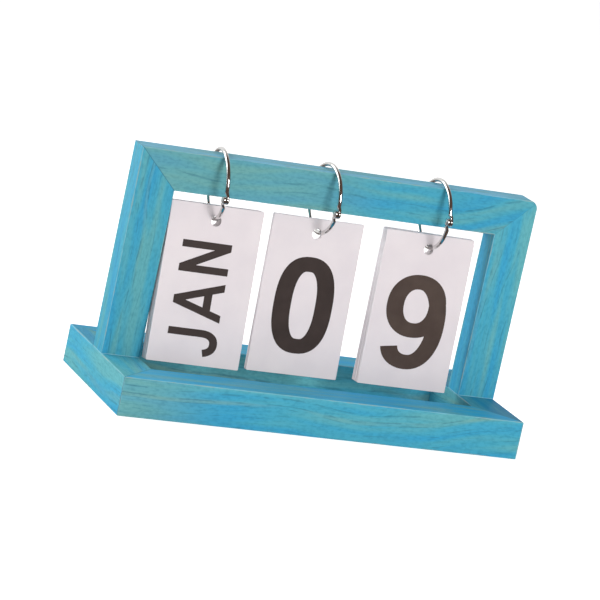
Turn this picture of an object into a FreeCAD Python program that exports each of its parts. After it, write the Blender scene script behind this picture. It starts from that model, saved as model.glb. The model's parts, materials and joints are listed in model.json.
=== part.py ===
import FreeCAD, Part
import os
import Sketcher

# Perpetual desk calendar: a wooden stand, and three rings with month, tens and units cards.
# Lengths are in millimetres and angles in degrees. X runs along the stand, the front faces -Y
# and Z is up. The origin is the middle of the stand's underside.

# The lengths that are set by themselves: name, value and what it is.
SIZES = (
    ("base_length", 200, "stand, side to side"),
    ("base_depth", 86, "stand, front to back"),
    ("base_height", 18.5, "base rails, from the table to their top"),
    ("rail_width", 19, "front and rear base rails in plan"),
    ("stile_width", 19, "stiles, and the base's side rails that they stand on"),
    ("frame_height", 116.5, "from the table to the top rail's top"),
    ("frame_depth", 12.8, "upright frame, front to back"),
    ("top_rail_height", 18.5, "top rail, seen from the front"),
    ("edge_round", 0.6, "worn long edges of the wood"),
    ("corner_round", 4, "the frame's rounded upper right corner"),
    ("screw_radius", 1.75, "wood screw that holds a stile on its side rail"),
    ("screw_length", 34, "from the head's face to the tip"),
    ("screw_tip", 3.5, "length of the screw's point"),
    ("screw_head_radius", 3.5, "countersunk head"),
    ("screw_head_height", 2.4, "countersunk head, with its rim"),
    ("screw_rim", 0.4, "straight rim of the head"),
    ("screw_sink", 0.5, "how far the head lies inside the underside"),
    ("screw_fit", 0.05, "room round the screw"),
    ("cross_width", 0.9, "one arm of the cross recess"),
    ("cross_length", 4, "the cross recess, tip to tip"),
    ("cross_depth", 1.2, "the cross recess"),
    ("wire_radius", 1, "ring wire"),
    ("ring_seat", 0.3, "room between a ring and the rail's edges under it"),
    ("eye_radius", 1.9, "flattened end of a ring half"),
    ("eye_thickness", 1.3, "flattened end of a ring half"),
    ("eye_gap", 0.2, "between the two flattened ends, and round each"),
    ("neck_width", 2, "the flat between an eye and the wire"),
    ("neck_overlap", 0.8, "how far the flat runs into the wire"),
    ("rivet_radius", 0.7, "hinge rivet"),
    ("rivet_fit", 0.05, "room round the rivet and under its heads"),
    ("rivet_head_radius", 1.3, "hinge rivet's heads"),
    ("rivet_head_height", 0.7, "hinge rivet's heads"),
    ("rivet_head_bevel", 0.3, "hinge rivet's heads"),
    ("clasp_gap", 0.2, "seam where the two halves meet at the rear"),
    ("peg_radius", 0.5, "peg of the upper half, in the lower half's socket"),
    ("peg_length", 1, "from the seam into the socket"),
    ("peg_fit", 0.1, "room round the peg"),
    ("card_thickness", 0.4, "board of a card"),
    ("card_gap", 0.15, "between two cards of a stack"),
    ("card_corner", 0.5, "rounded corners of a card"),
    ("card_clip", 2.3, "worn upper right corner of the front units card"),
    ("hole_radius", 2.5, "punched hole of a card"),
    ("hole_margin", 7.1, "from a card's top edge to the middle of its hole"),
    ("hole_play", 0.75, "room between the ring's lowest stretch and the hole's top"),
    ("top_gap", 4.9, "from the top rail's underside to the cards"),
    ("card_clear", 0.3, "from straight hanging cards down to the top of the base"),
    ("left_gap", 0.8, "from the left stile to the month cards"),
    ("month_tens_gap", 5.9, "between the month and tens cards"),
    ("tens_units_gap", 11.4, "between the tens and units cards"),
    ("right_gap", 7.7, "from the units cards to the right stile"),
    ("month_shift", -1.2, "ring's middle, sideways from the middle of its cards"),
    ("tens_shift", 0.9, "ring's middle, sideways from the middle of its cards"),
    ("units_shift", 0.65, "ring's middle, sideways from the middle of its cards"),
)

# The angles that are set by themselves.
ANGLES = (
    ("month_twist", -3.7, "ring's turn about the vertical"),
    ("tens_twist", 4, "ring's turn about the vertical"),
    ("units_twist", 2.5, "ring's turn about the vertical"),
    ("month_tip", -3.4, "ring's sideways tip"),
    ("tens_tip", 0.2, "ring's sideways tip"),
    ("units_tip", -0.8, "ring's sideways tip"),
    ("month_knuckle", 75, "hinge, from the ring's lowest point towards the front"),
    ("tens_knuckle", 77, "hinge, from the ring's lowest point towards the front"),
    ("units_knuckle", 90, "hinge, from the ring's lowest point towards the front"),
    ("month_lean", 7, "forward lean of the cards on their ring"),
    ("tens_lean", 4.5, "forward lean of the cards on their ring"),
    ("units_lean", 3.5, "forward lean of the cards on their ring"),
    ("month_spread", -0.5, "most that a card leans to the left at its bottom"),
    ("tens_spread", 0.8, "most that a card leans to the left at its bottom"),
    ("units_spread", 1, "most that a card leans to the left at its bottom"),
)

# What follows from the sizes. A ring is as large as the rail, the gap under it and the cards'
# hole margin ask for: it sits on the rail's two upper edges and its lowest stretch is at the holes.
PLACES = (
    ("half_length", "Sizes.base_length / 2"),
    ("half_depth", "Sizes.base_depth / 2"),
    ("half_frame", "Sizes.frame_depth / 2"),
    ("seat_half", "half_frame - Sizes.edge_round"),
    ("seat_drop", "Sizes.top_rail_height + Sizes.top_gap + Sizes.hole_margin + Sizes.hole_play"
     " - Sizes.hole_radius - Sizes.ring_seat - 2 * Sizes.edge_round"),
    ("seat_radius", "(seat_drop ^ 2 + seat_half ^ 2) / (2 * seat_drop)"),
    ("ring_inner", "seat_radius + Sizes.ring_seat + Sizes.edge_round"),
    ("ring_radius", "ring_inner + Sizes.wire_radius"),
    ("ring_z", "Sizes.frame_height - Sizes.edge_round - seat_drop + seat_radius"),
    ("hang", "ring_inner + Sizes.hole_radius - Sizes.hole_play"),
    ("card_width", "(Sizes.base_length - 2 * Sizes.stile_width - Sizes.left_gap"
     " - Sizes.month_tens_gap - Sizes.tens_units_gap - Sizes.right_gap) / 3"),
    ("card_drop", "ring_z - hang - Sizes.base_height - Sizes.card_clear"),
    ("card_pitch", "Sizes.card_thickness + Sizes.card_gap"),
    ("month_x", "Sizes.stile_width - half_length + Sizes.left_gap + card_width / 2"),
    ("tens_x", "month_x + card_width + Sizes.month_tens_gap"),
    ("units_x", "tens_x + card_width + Sizes.tens_units_gap"),
    ("month_ring_x", "month_x + Sizes.month_shift"),
    ("tens_ring_x", "tens_x + Sizes.tens_shift"),
    ("units_ring_x", "units_x + Sizes.units_shift"),
    ("screw_x", "half_length - Sizes.stile_width / 2"),
    ("eye_outer", "Sizes.eye_gap / 2 + Sizes.eye_thickness"),
    ("knuckle_turn", "(Sizes.eye_radius + Sizes.eye_gap) / ring_radius * 180 / pi"),
    ("clasp_turn", "Sizes.clasp_gap / 2 / ring_radius * 180 / pi"),
)

# The cards of each stack, from the front card back.
MONTHS = ("jan", "feb", "mar", "apr", "may", "jun", "jul", "aug", "sep", "oct", "nov", "dec")
TENS = ("0", "1", "2", "3")
UNITS = ("9", "0", "1", "2", "3", "4", "5", "6", "7", "8")

# Each card's share of its stack's sideways lean, from the front card back.
LEAN_SHARES = (0.4, 0.6, 0.3, 0.8, 0.5, 0.7, 0.2, 0.9, 0.6, 1, 0.4, 0.8)

# Two directions run alike if they differ by less than this share of their length.
PARALLEL_SHARE = 1e-6

X_WAY = FreeCAD.Vector(1, 0, 0)
Y_WAY = FreeCAD.Vector(0, 1, 0)
Z_WAY = FreeCAD.Vector(0, 0, 1)

doc = FreeCAD.newDocument("desk_calendar")
sizes = doc.addObject("Spreadsheet::Sheet", "Sizes")
angles = doc.addObject("Spreadsheet::Sheet", "Angles")
places = doc.addObject("Spreadsheet::Sheet", "Places")
pieces = []


def fill_sheets():
    """Writes the sizes and angles as numbers, and what follows from them as formulas."""
    for sheet, table in ((sizes, SIZES), (angles, ANGLES)):
        for row, (name, value, note) in enumerate(table, 1):
            sheet.set(f"A{row}", name)
            sheet.set(f"B{row}", str(value))
            sheet.setAlias(f"B{row}", name)
            sheet.set(f"C{row}", note)
    for row, (name, formula) in enumerate(PLACES, 1):
        places.set(f"A{row}", name)
        places.setAlias(f"B{row}", name)
        places.set(f"B{row}", f"={formula}")
    doc.recompute()


def value_of(formula):
    """The number that a formula gives with the present sizes."""
    return float(sizes.evalExpression(formula))


def piece(made, label):
    """Notes a finished piece under its own label."""
    made.Label = label
    pieces.append(made)
    return made


def new_body(label):
    """A body for one solid piece."""
    return piece(doc.addObject("PartDesign::Body", label), label)


def sketch_on(body, role):
    """A sketch on one of the body's own origin planes."""
    sketch = body.newObject("Sketcher::SketchObject", f"{body.Name}_sketch")
    plane = next(part for part in body.Origin.OriginFeatures if part.Role == role)
    sketch.AttachmentSupport = [(plane, "")]
    sketch.MapMode = "FlatFace"
    return sketch


def outline(sketch, corners):
    """A closed outline of straight sides, each corner a pair of formulas."""
    points = [FreeCAD.Vector(value_of(across), value_of(up), 0) for across, up in corners]
    first = sketch.GeometryCount
    count = len(points)
    for i, point in enumerate(points):
        sketch.addGeometry(Part.LineSegment(point, points[(i + 1) % count]))
    for i in range(count):
        after = first + (i + 1) % count
        sketch.addConstraint(Sketcher.Constraint("Coincident", first + i, 2, after, 1))
    for i, (point, corner) in enumerate(zip(points, corners)):
        for kind, start, formula in zip(("DistanceX", "DistanceY"), (point.x, point.y), corner):
            size = sketch.addConstraint(Sketcher.Constraint(kind, -1, 1, first + i, 1, start))
            sketch.setExpression(f"Constraints[{size}]", formula)


def circle(sketch, formula):
    """A circle about the sketch's origin."""
    radius = value_of(formula)
    rim = sketch.addGeometry(Part.Circle(FreeCAD.Vector(), Z_WAY, radius))
    sketch.addConstraint(Sketcher.Constraint("Coincident", rim, 3, -1, 1))
    size = sketch.addConstraint(Sketcher.Constraint("Radius", rim, radius))
    sketch.setExpression(f"Constraints[{size}]", formula)


def pad(body, sketch, length, side="One side"):
    """Pads a sketch by a formula's length."""
    made = body.newObject("PartDesign::Pad", f"{body.Name}_pad")
    made.Profile = sketch
    made.SideType = side
    made.setExpression("Length", length)
    doc.recompute()


def cut_through(body, sketch, length):
    """Cuts a sketch out of the body, to both sides of its plane."""
    before = body.Shape.Volume
    made = body.newObject("PartDesign::Pocket", f"{body.Name}_cut")
    made.Profile = sketch
    made.SideType = "Symmetric"
    made.setExpression("Length", length)
    doc.recompute()
    if body.Shape.Volume >= before:
        raise RuntimeError(f"{made.Name} cuts nothing")


def cut_round(body, sketch):
    """Cuts a half section, turned once round the sketch's upright axis."""
    before = body.Shape.Volume
    made = body.newObject("PartDesign::Groove", f"{body.Name}_bore")
    made.Profile = sketch
    made.ReferenceAxis = (sketch, ["V_Axis"])
    made.Angle = 360
    doc.recompute()
    if body.Shape.Volume >= before:
        raise RuntimeError(f"{made.Name} cuts nothing")


def turn_round(body, sketch):
    """Turns a half section once round the sketch's upright axis."""
    made = body.newObject("PartDesign::Revolution", f"{body.Name}_turned")
    made.Profile = sketch
    made.ReferenceAxis = (sketch, ["V_Axis"])
    made.Angle = 360
    doc.recompute()


def runs_along(edge, direction):
    """Whether an edge is straight and runs along a direction."""
    if edge.Curve.TypeId != "Part::GeomLine":
        return False
    return edge.Curve.Direction.cross(direction).Length < PARALLEL_SHARE


def is_corner(edge):
    """Whether an edge is one of a card's short corner edges."""
    return runs_along(edge, Y_WAY)


def is_upper_right(edge):
    """Whether an edge is a card's upper right corner."""
    place = edge.CenterOfMass
    return is_corner(edge) and place.x > 0 and place.z > 0


def ease(body, wanted, radius, kind="Fillet", size="Radius"):
    """Rounds or bevels the edges that a test picks."""
    base = body.Tip
    names = [f"Edge{i}" for i, edge in enumerate(base.Shape.Edges, 1) if wanted(edge)]
    made = body.newObject(f"PartDesign::{kind}", f"{body.Name}_ease")
    made.Base = (base, names)
    made.setExpression(size, radius)
    doc.recompute()


def turned(axis, angle):
    """The formula of a rotation about an axis."""
    x, y, z = (int(axis == way) for way in "xyz")
    return f"rotation(vector({x}; {y}; {z}); {angle})"


def place(turn, x="0", y="0", z="0"):
    """The formula of a placement: a rotation and a shift."""
    return f"placement(vector({x}; {y}; {z}); {turn})"


def base_rail(label, corners, way):
    """A mitred rail of the base: its plan, padded up from the table, with worn long edges."""
    body = new_body(label)
    sketch = sketch_on(body, "XY_Plane")
    outline(sketch, corners)
    pad(body, sketch, "Sizes.base_height")
    ease(body, lambda edge: runs_along(edge, way), "Sizes.edge_round")
    return body


def front_plan(side):
    """Plan of the front rail, or of the rear rail with side 1."""
    outer = f"{side} * Places.half_depth"
    inner = f"{side} * (Places.half_depth - Sizes.rail_width)"
    wide = "Places.half_length"
    narrow = "(Places.half_length - Sizes.stile_width)"
    return ((f"-{wide}", outer), (wide, outer), (narrow, inner), (f"-{narrow}", inner))


def side_plan(side):
    """Plan of the left rail, or of the right rail with side 1."""
    outer = f"{side} * Places.half_length"
    inner = f"{side} * (Places.half_length - Sizes.stile_width)"
    deep = "Places.half_depth"
    shallow = "(Places.half_depth - Sizes.rail_width)"
    return ((outer, f"-{deep}"), (outer, deep), (inner, shallow), (inner, f"-{shallow}"))


def stile_face(side):
    """Front view of the left stile, or of the right one with side 1."""
    outer = f"{side} * Places.half_length"
    inner = f"{side} * (Places.half_length - Sizes.stile_width)"
    under = "Sizes.frame_height - Sizes.top_rail_height"
    return (
        (outer, "Sizes.base_height"),
        (outer, "Sizes.frame_height"),
        (inner, under),
        (inner, "Sizes.base_height"),
    )


def top_rail_face():
    """Front view of the top rail, between the two mitres."""
    wide = "Places.half_length"
    narrow = "(Places.half_length - Sizes.stile_width)"
    under = "Sizes.frame_height - Sizes.top_rail_height"
    top = "Sizes.frame_height"
    return ((f"-{wide}", top), (wide, top), (narrow, under), (f"-{narrow}", under))


def round_corner(body):
    """Cuts the frame's upper right corner to its round."""
    sketch = sketch_on(body, "XZ_Plane")
    corner = FreeCAD.Vector(value_of("Places.half_length"), value_of("Sizes.frame_height"), 0)
    radius = value_of("Sizes.corner_round")
    middle = corner - FreeCAD.Vector(radius, radius, 0)
    low = middle + FreeCAD.Vector(radius, 0, 0)
    high = middle + FreeCAD.Vector(0, radius, 0)
    slant = middle + FreeCAD.Vector(radius, radius, 0) / 2 ** 0.5
    sketch.addGeometry(Part.LineSegment(low, corner))
    sketch.addGeometry(Part.LineSegment(corner, high))
    sketch.addGeometry(Part.Arc(low, slant, high))
    sketch.addConstraint(Sketcher.Constraint("Coincident", 0, 2, 1, 1))
    sketch.addConstraint(Sketcher.Constraint("Coincident", 1, 2, 2, 2))
    sketch.addConstraint(Sketcher.Constraint("Coincident", 0, 1, 2, 1))
    for point, x_formula, z_formula in (
        ((0, 2), "Places.half_length", "Sizes.frame_height"),
        ((0, 1), "Places.half_length", "Sizes.frame_height - Sizes.corner_round"),
        ((1, 2), "Places.half_length - Sizes.corner_round", "Sizes.frame_height"),
    ):
        for kind, formula in (("DistanceX", x_formula), ("DistanceY", z_formula)):
            start = value_of(formula)
            size = sketch.addConstraint(Sketcher.Constraint(kind, -1, 1, *point, start))
            sketch.setExpression(f"Constraints[{size}]", formula)
    size = sketch.addConstraint(Sketcher.Constraint("Radius", 2, radius))
    sketch.setExpression(f"Constraints[{size}]", "Sizes.corner_round")
    cut_through(body, sketch, "2 * Sizes.frame_depth")


def frame_piece(label, corners, way, rounded):
    """A stile or the top rail: its front view, padded to both sides, with worn long edges."""
    body = new_body(label)
    sketch = sketch_on(body, "XZ_Plane")
    outline(sketch, corners)
    pad(body, sketch, "Sizes.frame_depth", "Symmetric")
    if rounded:
        round_corner(body)
    ease(
        body,
        lambda edge: runs_along(edge, way) or edge.Curve.TypeId == "Part::GeomCircle",
        "Sizes.edge_round",
    )
    return body


def screw_section(face, room):
    """Half section of a screw that points up, from its face, with room round and above it."""
    head = f"Sizes.screw_head_radius + {room}"
    shank = f"Sizes.screw_radius + {room}"
    rim = "Sizes.screw_sink + Sizes.screw_rim"
    neck = "Sizes.screw_sink + Sizes.screw_head_height"
    tip = f"Sizes.screw_sink + Sizes.screw_length + {room}"
    return (
        ("0", face),
        (head, face),
        (head, rim),
        (shank, neck),
        (shank, f"{tip} - Sizes.screw_tip"),
        ("0", tip),
    )


def screw_bore(body, side):
    """Bores a rail or stile for its screw, from the underside up."""
    sketch = sketch_on(body, "XZ_Plane")
    sketch.setExpression("AttachmentOffset.Base.x", f"{side} * Places.screw_x")
    outline(sketch, screw_section("0", "Sizes.screw_fit"))
    cut_round(body, sketch)


def screw(side):
    """One countersunk wood screw with a cross recess."""
    body = doc.addObject("PartDesign::Body", "screw")
    section = sketch_on(body, "XZ_Plane")
    outline(section, screw_section("Sizes.screw_sink", "0"))
    turn_round(body, section)
    for long_way, short_way in (("cross_length", "cross_width"), ("cross_width", "cross_length")):
        arm = sketch_on(body, "XY_Plane")
        arm.setExpression("AttachmentOffset.Base.z", "Sizes.screw_sink")
        across = f"Sizes.{long_way} / 2"
        along = f"Sizes.{short_way} / 2"
        corners = ((-1, -1), (1, -1), (1, 1), (-1, 1))
        outline(arm, [(f"{a} * {across}", f"{b} * {along}") for a, b in corners])
        cut_through(body, arm, "2 * Sizes.cross_depth")
    body.setExpression("Placement", place(turned("z", "0"), x=f"{side} * Places.screw_x"))
    return body


def primitive(kind, name, **formulas):
    """A plain solid whose sizes are formulas."""
    made = doc.addObject(f"Part::{kind}", name)
    for prop, formula in formulas.items():
        made.setExpression(prop, formula)
    return made


def set_in_ring(made, turn="0", x="0", y="0", z="0"):
    """Places a solid in the ring's own plane, turned about the ring's axis."""
    made.setExpression("Placement", place(turned("z", turn), x, y, z))


def joined(name, parts):
    """Solids made one."""
    made = doc.addObject("Part::MultiFuse", name)
    made.Shapes = parts
    return made


def hanging_place(stack):
    """The ring's middle, turned and tipped as the ring is: the first axis is the ring's own."""
    turn = turned("z", f"Angles.{stack}_twist") + " * " + turned("y", f"Angles.{stack}_tip")
    return place(turn, x=f"Places.{stack}_ring_x", z="Places.ring_z")


def ring_place(stack):
    """The ring's own plane: its first axis points at the hinge, its third along the ring's axis."""
    turns = (turned("z", "-90"), turned("x", "90"), turned("z", f"Angles.{stack}_knuckle - 90"))
    return hanging_place(stack) + " * " + place(" * ".join(turns))


def ring_half(stack, half):
    """A ring half: wire, a flat and an eye at the hinge, and a peg or its socket at the clasp."""
    label = f"{stack}_ring_{half}"
    upper = half == "upper"
    wire = primitive(
        "Torus", f"{label}_wire", Radius1="Places.ring_radius", Radius2="Sizes.wire_radius",
        Angle3="180 - Places.knuckle_turn - Places.clasp_turn",
    )
    set_in_ring(wire, "Places.knuckle_turn" if upper else "180 + Places.clasp_turn")
    side = "-Places.eye_outer" if upper else "Sizes.eye_gap / 2"
    eye = primitive("Cylinder", f"{label}_eye", Radius="Sizes.eye_radius", Height="Sizes.eye_thickness")
    set_in_ring(eye, x="Places.ring_radius", z=side)
    neck_length = "(Sizes.eye_radius + Sizes.eye_gap + Sizes.neck_overlap)"
    neck = primitive(
        "Box", f"{label}_neck", Length="Sizes.neck_width", Width=neck_length,
        Height="Sizes.eye_thickness",
    )
    start = "0" if upper else f"-{neck_length}"
    set_in_ring(neck, x="Places.ring_radius - Sizes.neck_width / 2", y=start, z=side)
    hole = primitive(
        "Cylinder", f"{label}_hole", Radius="Sizes.rivet_radius + Sizes.rivet_fit",
        Height="2 * Places.eye_outer + Sizes.eye_gap",
    )
    set_in_ring(hole, x="Places.ring_radius", z="-Places.eye_outer - Sizes.eye_gap / 2")
    room = "0" if upper else "Sizes.peg_fit"
    peg = primitive(
        "Cylinder", f"{label}_peg", Radius=f"Sizes.peg_radius + {room}",
        Height=f"Sizes.clasp_gap + Sizes.peg_length + 2 * {room} + Sizes.wire_radius",
    )
    depth = f"(Sizes.clasp_gap / 2 + Sizes.peg_length + {room})"
    peg.setExpression("Placement", place(turned("x", "-90"), x="-Places.ring_radius", y=f"-{depth}"))
    cut = doc.addObject("Part::Cut", label)
    cut.Base = joined(f"{label}_joined", [wire, neck, eye, peg] if upper else [wire, neck, eye])
    cut.Tool = hole if upper else joined(f"{label}_holes", [hole, peg])
    cut.setExpression("Placement", ring_place(stack))
    piece(cut, label)


def ring_rivet(stack):
    """The rivet through both eyes of a ring's hinge."""
    body = new_body(f"{stack}_ring_rivet")
    sketch = sketch_on(body, "XZ_Plane")
    under = "(Places.eye_outer + Sizes.rivet_fit)"
    top = f"({under} + Sizes.rivet_head_height)"
    shank = "Sizes.rivet_radius"
    head = "Sizes.rivet_head_radius"
    bevel = "Sizes.rivet_head_bevel"
    outline(sketch, (
        ("0", f"-{top}"),
        (f"{head} - {bevel}", f"-{top}"),
        (head, f"{bevel} - {top}"),
        (head, f"-{under}"),
        (shank, f"-{under}"),
        (shank, under),
        (head, under),
        (head, f"{top} - {bevel}"),
        (f"{head} - {bevel}", top),
        ("0", top),
    ))
    turn_round(body, sketch)
    shift = place(turned("z", "0"), x="Places.ring_radius")
    body.setExpression("Placement", f"{ring_place(stack)} * {shift}")


def card(stack, name, order, count):
    """One card on its ring. Order 0 is the front card, and the front units card has a worn corner."""
    body = new_body(f"{stack}_card_{name}")
    board = sketch_on(body, "XZ_Plane")
    half = "Places.card_width / 2"
    outline(board, (
        (f"-{half}", "-Places.card_drop"),
        (half, "-Places.card_drop"),
        (half, "Sizes.hole_margin"),
        (f"-{half}", "Sizes.hole_margin"),
    ))
    pad(body, board, "Sizes.card_thickness", "Symmetric")
    is_worn = stack == "units" and order == 0
    ease(body, lambda edge: is_corner(edge) and not (is_worn and is_upper_right(edge)), "Sizes.card_corner")
    if is_worn:
        ease(body, is_upper_right, "Sizes.card_clip", "Chamfer", "Size")
    hole = sketch_on(body, "XZ_Plane")
    circle(hole, "Sizes.hole_radius")
    cut_through(body, hole, "2 * Sizes.card_thickness")
    depth = f"({order} - ({count} - 1) / 2) * Places.card_pitch"
    leaning = place(" * ".join((
        turned("x", f"-Angles.{stack}_lean"),
        turned("y", f"-Angles.{stack}_tip"),
        turned("z", f"-Angles.{stack}_twist"),
    )))
    hung = place(
        turned("y", f"{LEAN_SHARES[order]} * Angles.{stack}_spread"),
        x=f"-Sizes.{stack}_shift", y=depth, z="-Places.hang",
    )
    body.setExpression("Placement", f"{hanging_place(stack)} * {leaning} * {hung}")


fill_sheets()

base_rail("base_front_rail", front_plan(-1), X_WAY)
base_rail("base_rear_rail", front_plan(1), X_WAY)
for side, word in ((-1, "left"), (1, "right")):
    screw_bore(base_rail(f"base_{word}_rail", side_plan(side), Y_WAY), side)
    stile = frame_piece(f"{word}_stile", stile_face(side), Z_WAY, word == "right")
    screw_bore(stile, side)
frame_piece("top_rail", top_rail_face(), X_WAY, True)

screws = doc.addObject("Part::Compound", "frame_screws")
screws.Links = [screw(side) for side in (-1, 1)]
piece(screws, "frame_screws")

for stack, names in (("month", MONTHS), ("tens", TENS), ("units", UNITS)):
    ring_half(stack, "lower")
    ring_half(stack, "upper")
    ring_rivet(stack)
    for order, name in enumerate(names):
        card(stack, name, order, len(names))

doc.recompute()
for made in doc.Objects:
    if "Invalid" in made.State or "Error" in made.State:
        raise RuntimeError(f"{made.Name} failed: {made.State}")
for made in pieces:
    shape = made.Shape
    if shape.isNull() or not shape.isValid() or not shape.Solids:
        raise RuntimeError(f"{made.Label} has no sound solid")

os.makedirs("parts", exist_ok=True)
for made in pieces:
    made.Shape.exportStep(os.path.join("parts", f"{made.Label}.step"))
print(len(pieces), "pieces")
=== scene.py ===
"""The looks of a perpetual desk calendar: a blue stained stand, three book rings and their cards.

The stand's rails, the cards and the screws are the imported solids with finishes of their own. The
rings are swept anew with the forged flow from wire to eye, and every card gets its print.
"""

import json
import logging
import math
from collections.abc import Iterable, Mapping, Sequence
from dataclasses import dataclass, field
from enum import Enum
from functools import partial
from typing import Any

import bmesh
import bpy
from mathutils import Matrix, Vector
from mathutils.geometry import convex_hull_2d, delaunay_2d_cdt


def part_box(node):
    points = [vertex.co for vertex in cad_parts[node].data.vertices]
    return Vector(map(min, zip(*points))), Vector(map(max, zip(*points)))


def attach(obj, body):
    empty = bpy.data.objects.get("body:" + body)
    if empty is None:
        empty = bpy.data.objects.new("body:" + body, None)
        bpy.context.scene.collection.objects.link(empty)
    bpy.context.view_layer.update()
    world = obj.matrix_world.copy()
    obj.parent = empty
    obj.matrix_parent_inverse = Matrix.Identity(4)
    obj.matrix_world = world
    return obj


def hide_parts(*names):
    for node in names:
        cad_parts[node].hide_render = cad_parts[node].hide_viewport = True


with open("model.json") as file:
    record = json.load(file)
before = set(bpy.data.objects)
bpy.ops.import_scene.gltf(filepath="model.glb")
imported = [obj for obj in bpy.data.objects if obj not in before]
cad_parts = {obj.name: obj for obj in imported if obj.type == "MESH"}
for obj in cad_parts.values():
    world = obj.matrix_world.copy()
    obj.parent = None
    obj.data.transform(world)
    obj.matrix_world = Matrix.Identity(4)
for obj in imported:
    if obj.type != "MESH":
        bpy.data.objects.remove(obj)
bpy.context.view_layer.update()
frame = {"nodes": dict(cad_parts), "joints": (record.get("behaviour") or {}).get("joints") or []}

log = logging.getLogger("desk_calendar")

MM = 0.001

Pair = tuple[float, float]
Triple = tuple[float, float, float]
Colour = tuple[float, float, float, float]
Tree = bpy.types.NodeTree
Socket = bpy.types.NodeSocket
Material = bpy.types.Material

# settings that nodes share: sums, a change that eases in and out, and a mix of colours
PLUS = {"operation": "ADD"}
MINUS = {"operation": "SUBTRACT"}
TIMES = {"operation": "MULTIPLY"}
UNSIGNED = {"operation": "ABSOLUTE"}
EASED = {"interpolation_type": "SMOOTHSTEP"}
OF_COLOURS = {"data_type": "RGBA"}


# Shared helpers


def linear(hex_colour: str) -> Colour:
    """Turns an sRGB hex colour into linear RGBA.

    Args:
        hex_colour: A colour such as "#4aa6c4".

    Returns:
        Linear red, green and blue, and an alpha of 1.
    """
    parts = (int(hex_colour[i : i + 2], 16) / 255 for i in (1, 3, 5))
    red, green, blue = (c / 12.92 if c <= 0.04045 else ((c + 0.055) / 1.055) ** 2.4 for c in parts)
    return (red, green, blue, 1.0)


WHITE = linear("#ffffff")


def feed(node: bpy.types.Node, inputs: Mapping[Any, Any]) -> None:
    """Feeds a node's sockets.

    Args:
        node: The node.
        inputs: By name or number of a socket, the value it gets or the socket it is linked from.
    """
    for key, value in inputs.items():
        if isinstance(value, Socket):
            node.id_data.links.new(value, node.inputs[key])
        else:
            node.inputs[key].default_value = value


def add_node(
    tree: Tree,
    kind: str,
    inputs: Mapping[Any, Any] | Sequence[Any] = (),
    output: int | str = 0,
    stops: Sequence[tuple[float, Colour]] = (),
    **settings: Any,
) -> Socket:
    """Adds a shader node to a tree.

    Args:
        tree: The node tree.
        kind: The node's type, without the word that all of them start with.
        inputs: What its sockets are fed with, by name or number, or else in their order.
        output: Which of its outputs is asked for.
        stops: The place and colour of each stop of a ramp, in order.
        **settings: The node's own properties.

    Returns:
        The output.
    """
    node = tree.nodes.new(f"ShaderNode{kind}")
    for name, value in settings.items():
        setattr(node, name, value)
    feed(node, inputs if isinstance(inputs, Mapping) else dict(enumerate(inputs)))
    if stops:
        elements = node.color_ramp.elements
        while len(elements) < len(stops):
            elements.new(0.5)
        for element, (position, colour) in zip(elements, stops):
            element.position = position
            element.color = colour
    return node.outputs[output]


def new_material(name: str) -> tuple[Material, bpy.types.Node]:
    """Makes a material with node shading.

    Args:
        name: The material's name.

    Returns:
        The material and its main shader.
    """
    material = bpy.data.materials.new(name)
    material.use_nodes = True
    return material, material.node_tree.nodes["Principled BSDF"]


def link_object(name: str, mesh: bpy.types.Mesh, material: Material) -> bpy.types.Object:
    """Puts a mesh into the scene as an object of one material.

    Args:
        name: The object's name.
        mesh: Its mesh, in the frame's place.
        material: Its only material.

    Returns:
        The new object.
    """
    made = bpy.data.objects.new(name, mesh)
    mesh.materials.append(material)
    bpy.context.scene.collection.objects.link(made)
    return made


def dress_node(node: str, material: Material) -> None:
    """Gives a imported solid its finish."""
    slots = frame["nodes"][node].data.materials
    slots.clear()
    slots.append(material)


def joint(name: str) -> dict[str, Any]:
    """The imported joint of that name."""
    return next(item for item in frame["joints"] if item["name"] == name)


# Finishes


def blotches(tree: Tree, per_mm: float, detail: float) -> Socket:
    """Makes an even cloudy pattern over a whole piece.

    Args:
        tree: The node tree.
        per_mm: How many blotches there are in a millimetre.
        detail: How fine the pattern is.

    Returns:
        The pattern's strength, about 0.5.
    """
    place = add_node(tree, "TexCoord", output="Object")
    return add_node(tree, "TexNoise", {"Vector": place, "Scale": per_mm / MM, "Detail": detail})


def follow(
    tree: Tree, pattern: Socket, rough: Pair, dents: Pair | None = None, span: Pair = (0.3, 0.7)
) -> dict[str, Socket]:
    """Lets the roughness, and the dents where there are any, follow a pattern.

    Args:
        tree: The node tree.
        pattern: The pattern's strength.
        rough: The roughness at the two ends of the span.
        dents: How strongly the dents show, and how deep they are in millimetres.
        span: The strengths between which the roughness changes.

    Returns:
        What the main shader is fed with.
    """
    made = {"Roughness": add_node(tree, "MapRange", (pattern, *span, *rough))}
    if dents:
        inputs = {"Height": pattern, "Strength": dents[0], "Distance": dents[1] * MM}
        made["Normal"] = add_node(tree, "Bump", inputs)
    return made


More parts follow.
